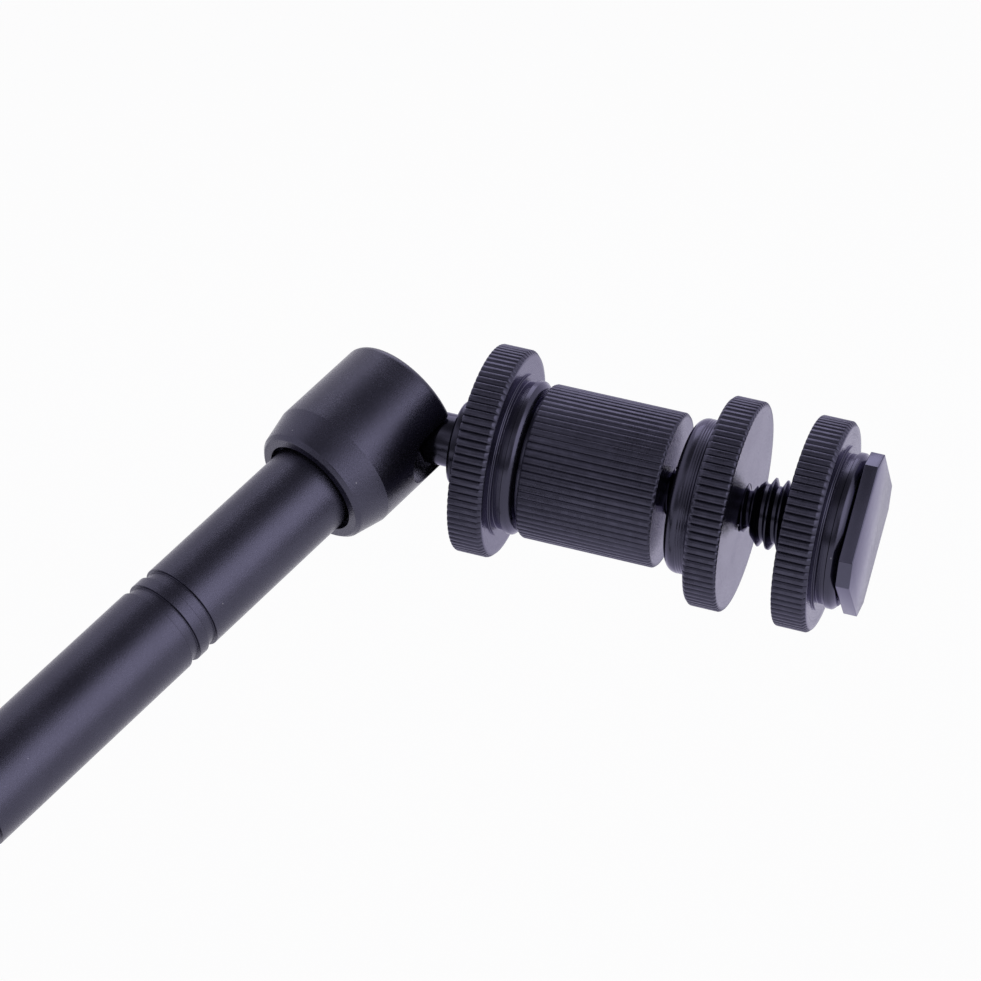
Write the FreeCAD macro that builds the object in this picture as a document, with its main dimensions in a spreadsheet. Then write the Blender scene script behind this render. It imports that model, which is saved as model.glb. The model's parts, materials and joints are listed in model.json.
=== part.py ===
import FreeCAD, Part
import math
import os
import re
import Sketcher

# Articulating friction arm: two tubes joined by a lockable elbow, with a slotted ball socket at each end.
# Millimetres, +Z up. The origin is on the base stud's axis, where its free thread leaves the lock wheel.
# The base stud points down, the lower arm rises from it, and the upper arm swings in the XZ plane.

os.makedirs("parts", exist_ok=True)

SIZES = {
    # Knurled wheels
    "wheel_radius": 14.15,
    "back_chamfer": 0.2,
    "rim_chamfer": 0.5,
    "knurl_width": 3.95,
    "boss_radius": 10.45,
    "boss_height": 2.85,
    "boss_chamfer": 0.7,
    "jam_boss_height": 3.95,
    "jam_boss_round": 1.5,
    "jam_rim_width": 4.45,
    "jam_chamfer": 0.3,
    "step_height": 0.3,
    "step_width": 0.6,
    "boss_groove_depth": 0.4,
    "boss_ring_width": 1.45,
    "wheel_teeth": 84,
    "knurl_depth": 0.32,
    "notch_share": 0.64,
    # Coupling barrel
    "barrel_radius": 10.48,
    "barrel_length": 19.1,
    "barrel_chamfer": 0.3,
    "barrel_teeth": 66,
    # Threads, as plain cylinders: free ones at their major radius, one under a wheel at its pitch radius
    "quarter_thread_radius": 3.175,
    "large_thread_radius": 4.7625,
    "quarter_pitch_radius": 2.76,
    "thread_clearance": 0.05,
    "thread_chamfer": 0.6,
    "bore_chamfer": 0.5,
    "free_thread_length": 8.0,
    # Ball stud
    "ball_radius": 6.1,
    "neck_radius": 2.4,
    "neck_end": 6.5,
    "stem_radius": 3.6,
    "stem_start": 7.4,
    "flange_start": 11.35,
    "flange_radius": 5.82,
    "flange_thickness": 3.05,
    "flange_chamfer": 0.35,
    # Shoe adapter
    "jam_gap": 1.6,
    "adapter_inset": 9.3,
    "quarter_thread_shown": 1.6,
    "large_thread_shown": 5.85,
    "shoe_gap": 0.25,
    "shoe_side": 18.6,
    "shoe_corner": 2.65,
    "shoe_thickness": 1.9,
    "spigot_radius": 3.0,
    "spigot_length": 1.2,
    # Socket head
    "head_radius": 9.65,
    "head_front": 5.05,
    "head_back": 13.95,
    "head_cone_start": 9.15,
    "head_cone_drop": 1.0,
    "head_lip_chamfer": 0.5,
    "head_round": 1.1,
    "head_gap": 0.6,
    "head_gap_depth": 2.0,
    "mouth_radius": 7.7,
    "seat_lip_radius": 5.0,
    "seat_clearance": 0.05,
    "slot_clearance": 0.35,
    # Tube
    "tube_radius": 6.3,
    "tube_bore_radius": 4.25,
    "first_grooves": 38.5,
    "second_grooves": 78.1,
    "groove_width": 1.55,
    "groove_land": 1.65,
    "groove_depth": 0.4,
    # Push rod and brake pad
    "rod_radius": 3.0,
    "pad_clearance": 0.1,
    "pad_play": 0.5,
    "pad_back": 8.2,
    "pad_rim": 3.2,
    "pad_chamfer": 0.3,
    # Elbow
    "arm_length": 117.5,
    "drum_radius": 14.0,
    "drum_height": 16.0,
    "drum_chamfer": 1.2,
    "collar_radius": 7.9,
    "collar_end": 19.5,
    "collar_chamfer": 0.8,
    "tube_seat": 9.6,
    "cavity_radius": 5.6,
    "front_wall": 3.0,
    "spigot_outer_radius": 8.5,
    "spigot_height": 2.0,
    "spigot_end_gap": 0.2,
    "running_clearance": 0.05,
    "friction_washer_height": 0.8,
    "friction_washer_radius": 13.3,
    "plug_radius": 7.2,
    "plug_thickness": 2.0,
    # Wedge shaft
    "wedge_radius": 4.2,
    "wedge_slope": 0.25,
    "wedge_below": 4.5,
    "wedge_above": 3.5,
    "wedge_clearance": 0.02,
    "shaft_neck_radius": 3.2,
    "shaft_thread_radius": 3.0,
    "shaft_end": 21.0,
    # Locking knob
    "thrust_washer_height": 1.0,
    "thrust_washer_radius": 7.5,
    "knob_radius": 19.0,
    "knob_hub_radius": 9.5,
    "knob_hub_height": 2.5,
    "knob_height": 14.0,
    "knob_edge": 2.2,
    "knob_lobes": 7,
    "lobe_cut_radius": 7.0,
    "lobe_cut_place": 23.6,
    "insert_radius": 5.0,
    "insert_height": 13.0,
    "cap_radius": 8.0,
    "cap_thickness": 1.6,
    # Pose, in degrees
    "lower_lean": 15.0,
    "upper_rise": 25.5,
    "stud_tilt": 68.0,
    "slot_roll": 20.0,
    "shoe_roll": 21.5,
}

doc = FreeCAD.newDocument("friction_arm")
sheet = doc.addObject("Spreadsheet::Sheet", "sizes")
for row, (alias, value) in enumerate(SIZES.items(), start=1):
    sheet.set("A%d" % row, alias)
    sheet.set("B%d" % row, str(value))
    sheet.setAlias("B%d" % row, alias)
doc.recompute()


def size(alias):
    """The number that a cell of the sheet holds."""
    return float(sheet.get(alias))


def formula(text):
    """Turns plain size names into references to the sheet's cells."""
    return re.sub(r"[a-z]+(?:_[a-z]+)+", lambda name: "sizes." + name.group(0), text)


def number(text):
    """The value of a formula, for a sketch's first guess and for places."""
    return float(sheet.evalExpression(formula(text)))


# Places along each axis, as formulas of the sizes above

# On a ball stud, from the ball's centre outwards
WHEEL_BACK = "(flange_start + flange_thickness)"
RIM_WIDTH = "(back_chamfer + knurl_width + rim_chamfer)"
WHEEL_FRONT = "(%s + %s + boss_height)" % (WHEEL_BACK, RIM_WIDTH)
BARREL_END = "(%s + barrel_length)" % WHEEL_FRONT
JAM_START = "(%s + jam_gap)" % BARREL_END
JAM_END = "(%s + jam_boss_height + jam_rim_width)" % JAM_START
STEP_PLACE = "(%s + quarter_thread_shown)" % JAM_END
SHOE_WHEEL_BACK = "(%s + large_thread_shown)" % STEP_PLACE
SHOE_WHEEL_FRONT = "(%s + %s + boss_height)" % (SHOE_WHEEL_BACK, RIM_WIDTH)
CLAMP_RING_BACK = "(%s - boss_ring_width)" % SHOE_WHEEL_FRONT
SHOE_BACK = "(%s + shoe_gap)" % SHOE_WHEEL_FRONT
# Along the elbow's axis, from the middle of a drum towards the knob
DRUM_HALF = "(drum_height / 2)"
DRUM_PITCH = "(drum_height + friction_washer_height)"
KNOB_FOOT = "(%s + thrust_washer_height)" % DRUM_HALF
KNOB_SHELF = "(%s + knob_hub_height)" % KNOB_FOOT
KNOB_TOP = "(%s + knob_height)" % KNOB_SHELF
# Across the elbow's axis: where the centre of a rod's round end stands off the wedge
ROD_END = "(wedge_radius + (rod_radius + wedge_clearance) * sqrt(1 + wedge_slope ^ 2))"


def new_body(label):
    """An empty body that will become one node of the part."""
    body = doc.addObject("PartDesign::Body", label)
    body.Label = label
    return body


def plane(body, role):
    """The body's own origin plane with that role."""
    return next(item for item in body.Origin.OriginFeatures if item.Role == role)


def attach(feature, body, role, offset=None):
    """Lays a sketch or primitive on an origin plane, raised along the plane's normal by a formula."""
    feature.AttachmentSupport = [(plane(body, role), "")]
    feature.MapMode = "FlatFace"
    if offset:
        feature.setExpression("AttachmentOffset.Base.z", formula(offset))


def outline_sketch(body, name, role, points, offset=None):
    """A closed outline whose corners are bound to the sheet.

    A point is (x, y), or (x, y, radius, centre x, centre y, turn) where an arc leaves it, with turn +1
    for counterclockwise and -1 for clockwise.
    """
    sketch = body.newObject("Sketcher::SketchObject", name)
    attach(sketch, body, role, offset)
    corners = [FreeCAD.Vector(number(point[0]), number(point[1]), 0) for point in points]
    pieces = []
    for index, point in enumerate(points):
        start = corners[index]
        end = corners[(index + 1) % len(points)]
        if len(point) == 2:
            geometry = sketch.addGeometry(Part.LineSegment(start, end), False)
            pieces.append((geometry, 1, 2))
            continue
        centre = FreeCAD.Vector(number(point[3]), number(point[4]), 0)
        circle = Part.Circle(centre, FreeCAD.Vector(0, 0, 1), number(point[2]))
        first = math.atan2(start.y - centre.y, start.x - centre.x)
        last = math.atan2(end.y - centre.y, end.x - centre.x)
        if point[5] > 0:
            geometry = sketch.addGeometry(Part.ArcOfCircle(circle, first, last), False)
            pieces.append((geometry, 1, 2))
        else:
            geometry = sketch.addGeometry(Part.ArcOfCircle(circle, last, first), False)
            pieces.append((geometry, 2, 1))
        radius = sketch.addConstraint(Sketcher.Constraint("Radius", geometry, number(point[2])))
        sketch.setExpression("Constraints[%d]" % radius, formula(point[2]))
    for index, point in enumerate(points):
        geometry, start_end, far_end = pieces[index]
        following, following_start, _ = pieces[(index + 1) % len(points)]
        sketch.addConstraint(Sketcher.Constraint("Coincident", geometry, far_end, following, following_start))
        for kind, text, value in (("DistanceX", point[0], corners[index].x),
                                  ("DistanceY", point[1], corners[index].y)):
            place = sketch.addConstraint(Sketcher.Constraint(kind, -1, 1, geometry, start_end, value))
            sketch.setExpression("Constraints[%d]" % place, formula(text))
    return sketch


def turn(body, points, name="Turned"):
    """Turns an outline of (radius, height) points about the body's Z axis."""
    sketch = outline_sketch(body, name + "Outline", "XZ_Plane", points)
    feature = body.newObject("PartDesign::Revolution", name)
    feature.Profile = sketch
    feature.ReferenceAxis = (sketch, ["V_Axis"])
    feature.Angle = 360
    return feature


def cylinder(body, kind, name, role, radius, start, length):
    """Adds or takes away a cylinder that stands on an origin plane; kind is Additive or Subtractive."""
    feature = body.newObject("PartDesign::%sCylinder" % kind, name)
    attach(feature, body, role, start)
    feature.setExpression("Radius", formula(radius))
    feature.setExpression("Height", formula(length))
    return feature


def knurl(body, radius, teeth):
    """Cuts a straight knurl: one notch down the rim, repeated round it."""
    doc.recompute()
    before = body.Shape.Volume
    half = "(%s * tan(180 deg / %s) * notch_share)" % (radius, teeth)
    notch = outline_sketch(body, "Notch", "XY_Plane", [
        ("%s - knurl_depth" % radius, "0"),
        ("%s + knurl_depth" % radius, "-1 * %s * 2" % half),
        ("%s + knurl_depth" % radius, "%s * 2" % half),
    ])
    pocket = body.newObject("PartDesign::Pocket", "Groove")
    pocket.Profile = notch
    pocket.Type = "ThroughAll"
    pocket.Reversed = True
    pattern = body.newObject("PartDesign::PolarPattern", "Knurl")
    pattern.Originals = [pocket]
    pattern.Axis = (notch, ["N_Axis"])
    pattern.Angle = 360
    pattern.setExpression("Occurrences", formula(teeth))
    body.Tip = pattern
    doc.recompute()
    if not body.Shape.Volume < before:
        raise RuntimeError("the knurl of %s cut nothing" % body.Label)


def rim_outline(back, bore):
    """A wheel's rim with the root of its boss, which faces outwards, from its back face."""
    rim_front = "%s + %s" % (back, RIM_WIDTH)
    root_radius = "boss_radius - boss_groove_depth"
    root_end = "%s + boss_height - boss_ring_width" % rim_front
    return [
        (bore, back),
        ("wheel_radius - back_chamfer", back),
        ("wheel_radius", "%s + back_chamfer" % back),
        ("wheel_radius", "%s - rim_chamfer" % rim_front),
        ("wheel_radius - rim_chamfer", rim_front),
        ("boss_radius + step_width", rim_front),
        ("boss_radius + step_width", "%s + step_height" % rim_front),
        (root_radius, "%s + step_height" % rim_front),
        (root_radius, root_end),
    ]


def boss_ring_outline(back, bore):
    """The smooth end of a boss, beyond the groove at its root; its bore is chamfered for the thread."""
    front = "%s + boss_ring_width" % back
    return [
        ("boss_radius", back),
        ("boss_radius", "%s - boss_chamfer" % front),
        ("boss_radius - boss_chamfer", front),
        ("%s + bore_chamfer" % bore, front),
        (bore, "%s - bore_chamfer" % front),
    ]


def jam_wheel_outline(start, bore):
    """A wheel whose round-edged boss faces back towards the barrel."""
    rim_back = "%s + jam_boss_height" % start
    rim_front = "%s + jam_rim_width" % rim_back
    return [
        (bore, start),
        ("boss_radius - jam_boss_round", start,
         "jam_boss_round", "boss_radius - jam_boss_round", "%s + jam_boss_round" % start, 1),
        ("boss_radius", "%s + jam_boss_round" % start),
        ("boss_radius", "%s - step_height" % rim_back),
        ("boss_radius + step_width", "%s - step_height" % rim_back),
        ("boss_radius + step_width", rim_back),
        ("wheel_radius - jam_chamfer", rim_back),
        ("wheel_radius", "%s + jam_chamfer" % rim_back),
        ("wheel_radius", "%s - jam_chamfer" % rim_front),
        ("wheel_radius - jam_chamfer", rim_front),
        (bore, rim_front),
    ]


def ball_stud(label):
    """Ball, neck, stem, flange and thread, turned as one piece along +Z from the ball's centre."""
    body = new_body(label)
    ball = body.newObject("PartDesign::AdditiveSphere", "Ball")
    ball.setExpression("Radius", formula("ball_radius"))
    flange_end = WHEEL_BACK
    thread_end = "%s + free_thread_length" % WHEEL_FRONT
    turn(body, [
        ("0", "0"),
        ("neck_radius", "0"),
        ("neck_radius", "neck_end"),
        ("stem_radius", "stem_start"),
        ("stem_radius", "flange_start"),
        ("flange_radius - flange_chamfer", "flange_start"),
        ("flange_radius", "flange_start + flange_chamfer"),
        ("flange_radius", "%s - flange_chamfer" % flange_end),
        ("flange_radius - flange_chamfer", flange_end),
        ("quarter_pitch_radius", flange_end),
        ("quarter_pitch_radius", WHEEL_FRONT),
        ("quarter_thread_radius", WHEEL_FRONT),
        ("quarter_thread_radius", "%s - thread_chamfer" % thread_end),
        ("quarter_thread_radius - thread_chamfer", thread_end),
        ("0", thread_end),
    ], "Stem")
    return body


def lock_wheel(label):
    """Knurled wheel on a ball stud, from the flange outwards."""
    body = new_body(label)
    bore = "quarter_pitch_radius + thread_clearance"
    ring_back = "(%s - boss_ring_width)" % WHEEL_FRONT
    turn(body, rim_outline(WHEEL_BACK, bore) + boss_ring_outline(ring_back, bore))
    knurl(body, "wheel_radius", "wheel_teeth")
    return body


def socket_head(label):
    """Slotted ball socket. +Z is the tube's outward direction, and +X is the side that the slot opens to."""
    body = new_body(label)
    seat = "(ball_radius + seat_clearance)"
    lip_height = "sqrt(%s ^ 2 - seat_lip_radius ^ 2)" % seat
    cone_foot = "(head_radius - head_cone_drop)"
    turn(body, [
        ("tube_radius + head_gap", "-head_back"),
        ("%s - head_lip_chamfer" % cone_foot, "-head_back"),
        (cone_foot, "-head_back + head_lip_chamfer"),
        ("head_radius", "-head_cone_start"),
        ("head_radius", "head_front - head_round",
         "head_round", "head_radius - head_round", "head_front - head_round", 1),
        ("head_radius - head_round", "head_front"),
        ("mouth_radius", "head_front"),
        ("seat_lip_radius", lip_height, seat, "0", "0", -1),
        (seat, "0"),
        ("tube_radius", "0"),
        ("tube_radius", "-head_back + head_gap_depth"),
        ("tube_radius + head_gap", "-head_back + head_gap_depth"),
    ])
    slot_half = "(stem_radius + slot_clearance)"
    slot = body.newObject("PartDesign::SubtractiveBox", "SlotSides")
    attach(slot, body, "XY_Plane")
    slot.setExpression("Length", formula("head_radius + head_round"))
    slot.setExpression("Width", formula("2 * %s" % slot_half))
    slot.setExpression("Height", formula("head_front + head_round"))
    slot.setExpression("AttachmentOffset.Base.y", formula("-1 * %s" % slot_half))
    cylinder(body, "Subtractive", "SlotEnd", "YZ_Plane", slot_half, "0", "head_radius + head_round")
    return body


def tube(label):
    """Arm tube with its two pairs of turned grooves, from the socket end back to the elbow."""
    body = new_body(label)
    points = [
        ("tube_bore_radius", "-(pad_back + pad_play)"),
        ("tube_bore_radius", "-(arm_length - tube_seat)"),
        ("tube_radius", "-(arm_length - tube_seat)"),
    ]
    floor = "tube_radius - groove_depth"
    for pair in ("second_grooves", "first_grooves"):
        for step in (1, 0):
            near = "-(%s + %d * (groove_width + groove_land))" % (pair, step)
            far = "%s - groove_width" % near
            points += [("tube_radius", far), (floor, far), (floor, near), ("tube_radius", near)]
    points.append(("tube_radius", "-(pad_back + pad_play)"))
    turn(body, points)
    return body


def brake_pad(label):
    """Cup that presses the ball, guided by the socket head's bore."""
    body = new_body(label)
    seat = "(ball_radius + seat_clearance)"
    radius = "tube_radius - pad_clearance"
    turn(body, [
        ("0", "-pad_back"),
        ("%s - pad_chamfer" % radius, "-pad_back"),
        (radius, "-pad_back + pad_chamfer"),
        (radius, "-pad_rim"),
        ("sqrt(%s ^ 2 - pad_rim ^ 2)" % seat, "-pad_rim", seat, "0", "0", -1),
        ("0", "-1 * %s" % seat),
    ])
    return body


def push_rod(label):
    """Rod from the brake pad to the wedge, with a round end on the wedge's side."""
    body = new_body(label)
    end = "-(arm_length - %s)" % ROD_END
    turn(body, [
        ("0", "-pad_back"),
        ("0", "%s - rod_radius" % end, "rod_radius", "0", end, 1),
        ("rod_radius", end),
        ("rod_radius", "-pad_back"),
    ])
    return body


def drum_sides(body):
    """Collar, tube seat and rod guide that both drums have on their +X side."""
    cylinder(body, "Subtractive", "TubeSeat", "YZ_Plane", "tube_radius", "tube_seat", "arm_length")
    cylinder(body, "Subtractive", "RodGuide", "YZ_Plane", "rod_radius + running_clearance", "0", "arm_length")


def drum_blank(body):
    """Solid drum with the collar that takes the tube."""
    turn(body, [
        ("0", "-1 * %s" % DRUM_HALF),
        ("drum_radius - drum_chamfer", "-1 * %s" % DRUM_HALF),
        ("drum_radius", "-1 * %s + drum_chamfer" % DRUM_HALF),
        ("drum_radius", "%s - drum_chamfer" % DRUM_HALF),
        ("drum_radius - drum_chamfer", DRUM_HALF),
        ("0", DRUM_HALF),
    ], "Blank")
    cylinder(body, "Additive", "Collar", "YZ_Plane", "collar_radius", "0", "collar_end - collar_chamfer")
    nose = body.newObject("PartDesign::AdditiveCone", "CollarNose")
    attach(nose, body, "YZ_Plane", "collar_end - collar_chamfer")
    nose.setExpression("Radius1", formula("collar_radius"))
    nose.setExpression("Radius2", formula("collar_radius - collar_chamfer"))
    nose.setExpression("Height", formula("collar_chamfer"))


def upper_drum(label):
    """Knuckle of the upper arm: closed towards the knob, recessed for the lower drum's spigot."""
    body = new_body(label)
    drum_blank(body)
    foot = "-1 * %s" % DRUM_HALF
    cylinder(body, "Subtractive", "Cavity", "XY_Plane", "cavity_radius", foot, "drum_height - front_wall")
    cylinder(body, "Subtractive", "ShaftHole", "XY_Plane",
             "shaft_thread_radius + running_clearance", "0", "drum_height")
    cylinder(body, "Subtractive", "SpigotRecess", "XY_Plane",
             "spigot_outer_radius + running_clearance", foot, "spigot_height + spigot_end_gap")
    drum_sides(body)
    return body


def lower_drum(label):
    """Knuckle of the lower arm: a spigot carries the upper drum, and a plug closes its back."""
    body = new_body(label)
    drum_blank(body)
    cylinder(body, "Additive", "Spigot", "XY_Plane", "spigot_outer_radius", "0",
             "%s + friction_washer_height + spigot_height" % DRUM_HALF)
    foot = "-1 * %s" % DRUM_HALF
    cylinder(body, "Subtractive", "Cavity", "XY_Plane", "cavity_radius", foot, "2 * drum_height")
    cylinder(body, "Subtractive", "PlugSeat", "XY_Plane", "plug_radius", foot, "plug_thickness")
    drum_sides(body)
    return body


def ring(label, inner, outer, start, height):
    """Flat washer about Z."""
    body = new_body(label)
    top = "%s + %s" % (start, height)
    turn(body, [(inner, start), (outer, start), (outer, top), (inner, top)])
    return body


def wedge_shaft(label):
    """Central bolt: one cone for each push rod, then the thread that the knob draws it by."""
    body = new_body(label)
    points = [("0", "-1 * %s - wedge_below" % DRUM_PITCH)]
    for level in ("-1 * %s" % DRUM_PITCH, "0"):
        points += [
            ("wedge_radius + wedge_slope * wedge_below", "%s - wedge_below" % level),
            ("wedge_radius - wedge_slope * wedge_above", "%s + wedge_above" % level),
        ]
        if level != "0":
            points += [
                ("shaft_neck_radius", "%s + wedge_above" % level),
                ("shaft_neck_radius", "-wedge_below"),
            ]
    points += [
        ("shaft_thread_radius", "wedge_above"),
        ("shaft_thread_radius", "shaft_end - thread_chamfer"),
        ("shaft_thread_radius - thread_chamfer", "shaft_end"),
        ("0", "shaft_end"),
    ]
    turn(body, points)
    return body


def locking_knob(label):
    """Lobed hand knob, hollow for its insert and recessed for its cap."""
    body = new_body(label)
    insert_top = "%s + insert_height" % KNOB_FOOT
    cap_floor = "%s - cap_thickness" % KNOB_TOP
    turn(body, [
        ("insert_radius", KNOB_FOOT),
        ("knob_hub_radius", KNOB_FOOT),
        ("knob_hub_radius", KNOB_SHELF),
        ("knob_radius - knob_edge", KNOB_SHELF),
        ("knob_radius", "%s + knob_edge" % KNOB_SHELF),
        ("knob_radius", "%s - knob_edge" % KNOB_TOP,
         "knob_edge", "knob_radius - knob_edge", "%s - knob_edge" % KNOB_TOP, 1),
        ("knob_radius - knob_edge", KNOB_TOP),
        ("cap_radius", KNOB_TOP),
        ("cap_radius", cap_floor),
        ("shaft_thread_radius + running_clearance", cap_floor),
        ("shaft_thread_radius + running_clearance", insert_top),
        ("insert_radius", insert_top),
    ])
    cut = body.newObject("Sketcher::SketchObject", "LobeCircle")
    attach(cut, body, "XY_Plane")
    place = FreeCAD.Vector(size("lobe_cut_place"), 0, 0)
    circle = Part.Circle(place, FreeCAD.Vector(0, 0, 1), size("lobe_cut_radius"))
    cut.addGeometry(circle, False)
    cut.addConstraint(Sketcher.Constraint("PointOnObject", 0, 3, -1))
    radius = cut.addConstraint(Sketcher.Constraint("Radius", 0, size("lobe_cut_radius")))
    cut.setExpression("Constraints[%d]" % radius, formula("lobe_cut_radius"))
    centre = cut.addConstraint(Sketcher.Constraint("DistanceX", -1, 1, 0, 3, size("lobe_cut_place")))
    cut.setExpression("Constraints[%d]" % centre, formula("lobe_cut_place"))
    doc.recompute()
    before = body.Shape.Volume
    pocket = body.newObject("PartDesign::Pocket", "LobeCut")
    pocket.Profile = cut
    pocket.Type = "ThroughAll"
    pocket.Reversed = True
    pattern = body.newObject("PartDesign::PolarPattern", "Lobes")
    pattern.Originals = [pocket]
    pattern.Axis = (cut, ["N_Axis"])
    pattern.Angle = 360
    pattern.setExpression("Occurrences", formula("knob_lobes"))
    body.Tip = pattern
    doc.recompute()
    if not body.Shape.Volume < before:
        raise RuntimeError("the knob has no lobes")
    return body


def coupling_barrel(label):
    """Knurled sleeve, tapped from end to end."""
    body = new_body(label)
    bore = "quarter_thread_radius + thread_clearance"
    turn(body, [
        (bore, WHEEL_FRONT),
        ("barrel_radius - barrel_chamfer", WHEEL_FRONT),
        ("barrel_radius", "%s + barrel_chamfer" % WHEEL_FRONT),
        ("barrel_radius", "%s - barrel_chamfer" % BARREL_END),
        ("barrel_radius - barrel_chamfer", BARREL_END),
        (bore, BARREL_END),
    ])
    knurl(body, "barrel_radius", "barrel_teeth")
    return body


def adapter_stud(label):
    """Stepped stud of the shoe adapter, with a spigot that is pressed into the foot."""
    body = new_body(label)
    inner_end = "%s - adapter_inset" % BARREL_END
    spigot_end = "%s + spigot_length" % SHOE_BACK
    turn(body, [
        ("0", inner_end),
        ("quarter_thread_radius - thread_chamfer", inner_end),
        ("quarter_thread_radius", "%s + thread_chamfer" % inner_end),
        ("quarter_thread_radius", STEP_PLACE),
        ("large_thread_radius - thread_chamfer", STEP_PLACE),
        ("large_thread_radius", "%s + thread_chamfer" % STEP_PLACE),
        ("large_thread_radius", SHOE_BACK),
        ("spigot_radius", SHOE_BACK),
        ("spigot_radius", spigot_end),
        ("0", spigot_end),
    ])
    return body


def shoe_foot(label):
    """Square foot with cut corners, and a blind hole for the stud's spigot."""
    body = new_body(label)
    side = "(shoe_side / 2)"
    inner = "(shoe_side / 2 - shoe_corner)"
    corners = [(side, inner), (inner, side)]
    outline = []
    for sign_x, sign_y in ((1, 1), (-1, 1), (-1, -1), (1, -1)):
        pair = corners if sign_x * sign_y > 0 else corners[::-1]
        outline += [("%d * %s" % (sign_x, x), "%d * %s" % (sign_y, y)) for x, y in pair]
    sketch = outline_sketch(body, "FootOutline", "XY_Plane", outline, SHOE_BACK)
    plate = body.newObject("PartDesign::Pad", "Plate")
    plate.Profile = sketch
    plate.setExpression("Length", formula("shoe_thickness"))
    cylinder(body, "Subtractive", "SpigotHole", "XY_Plane", "spigot_radius", SHOE_BACK, "spigot_length")
    return body


# Frames of the pose: each has its origin, its outward direction as +Z and a side direction as +X

def frame(origin, outward, side):
    """Placement that turns +Z to the outward direction and +X to the side direction."""
    z_axis = FreeCAD.Vector(outward).normalize()
    x_axis = FreeCAD.Vector(side) - z_axis * z_axis.dot(side)
    x_axis.normalize()
    y_axis = z_axis.cross(x_axis)
    return FreeCAD.Placement(origin, FreeCAD.Rotation(x_axis, y_axis, z_axis, "ZXY"))


UP = FreeCAD.Vector(0, 0, 1)
SIDE = FreeCAD.Vector(0, -1, 0)
lean = math.radians(size("lower_lean"))
rise = math.radians(size("upper_rise"))
tilt = math.radians(size("stud_tilt"))
roll = math.radians(size("slot_roll"))
reach = size("arm_length")

lower_out = FreeCAD.Vector(math.sin(lean), 0, -math.cos(lean))
upper_out = FreeCAD.Vector(math.cos(rise), 0, math.sin(rise))
upper_drop = FreeCAD.Vector(math.sin(rise), 0, -math.cos(rise))
base_ball = UP * number(WHEEL_FRONT)
lower_elbow = base_ball - lower_out * reach
upper_elbow = lower_elbow + SIDE * number(DRUM_PITCH)
upper_ball = upper_elbow + upper_out * reach
slot_side = SIDE * math.cos(roll) + upper_drop * math.sin(roll)
stud_out = upper_out * math.cos(tilt) + slot_side * math.sin(tilt)

base_frame = frame(base_ball, -UP, FreeCAD.Vector(1, 0, 0))
lower_frame = frame(base_ball, lower_out, FreeCAD.Vector(-1, 0, 0))
lower_elbow_frame = frame(lower_elbow, SIDE, lower_out)
upper_elbow_frame = frame(upper_elbow, SIDE, upper_out)
upper_frame = frame(upper_ball, upper_out, slot_side)
stud_frame = frame(upper_ball, stud_out, upper_out)
shoe_turn = FreeCAD.Placement(FreeCAD.Vector(), FreeCAD.Rotation(UP, size("shoe_roll")))

# The pieces, each in its frame

pieces = []


def place(body, placement):
    """Sets a finished piece in its frame and keeps it for export."""
    body.Placement = placement
    pieces.append(body)


place(ball_stud("base_ball_stud"), base_frame)
place(lock_wheel("base_lock_wheel"), base_frame)
for side, arm_frame in (("lower", lower_frame), ("upper", upper_frame)):
    place(socket_head(side + "_socket_head"), arm_frame)
    place(tube(side + "_tube"), arm_frame)
    place(brake_pad(side + "_brake_pad"), arm_frame)
    place(push_rod(side + "_push_rod"), arm_frame)

place(lower_drum("lower_elbow_drum"), lower_elbow_frame)
place(ring("elbow_end_plug", "0", "plug_radius", "-1 * %s" % DRUM_HALF, "plug_thickness"),
      lower_elbow_frame)
place(ring("elbow_friction_washer", "spigot_outer_radius + running_clearance", "friction_washer_radius",
           DRUM_HALF, "friction_washer_height"), lower_elbow_frame)
place(upper_drum("upper_elbow_drum"), upper_elbow_frame)
place(wedge_shaft("wedge_shaft"), upper_elbow_frame)
place(ring("thrust_washer", "shaft_thread_radius + running_clearance", "thrust_washer_radius",
           DRUM_HALF, "thrust_washer_height"), upper_elbow_frame)
place(locking_knob("locking_knob"), upper_elbow_frame)
place(ring("knob_insert", "shaft_thread_radius + running_clearance", "insert_radius",
           KNOB_FOOT, "insert_height"), upper_elbow_frame)
place(ring("knob_cap", "0", "cap_radius", "%s - cap_thickness" % KNOB_TOP, "cap_thickness"),
      upper_elbow_frame)

place(ball_stud("upper_ball_stud"), stud_frame)
place(lock_wheel("upper_lock_wheel"), stud_frame)
place(coupling_barrel("coupling_barrel"), stud_frame)
place(adapter_stud("adapter_stud"), stud_frame)
jam_wheel = new_body("jam_wheel")
turn(jam_wheel, jam_wheel_outline(JAM_START, "quarter_thread_radius + thread_clearance"))
knurl(jam_wheel, "wheel_radius", "wheel_teeth")
place(jam_wheel, stud_frame)
large_bore = "large_thread_radius + thread_clearance"
shoe_wheel = new_body("shoe_wheel")
turn(shoe_wheel, rim_outline(SHOE_WHEEL_BACK, large_bore) + [(large_bore, CLAMP_RING_BACK)])
knurl(shoe_wheel, "wheel_radius", "wheel_teeth")
place(shoe_wheel, stud_frame)
clamp_ring = new_body("shoe_clamp_ring")
turn(clamp_ring, [(large_bore, CLAMP_RING_BACK)] + boss_ring_outline(CLAMP_RING_BACK, large_bore))
place(clamp_ring, stud_frame)
place(shoe_foot("shoe_foot"), stud_frame * shoe_turn)

doc.recompute()

# Every object has to be whole before anything is written

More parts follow.
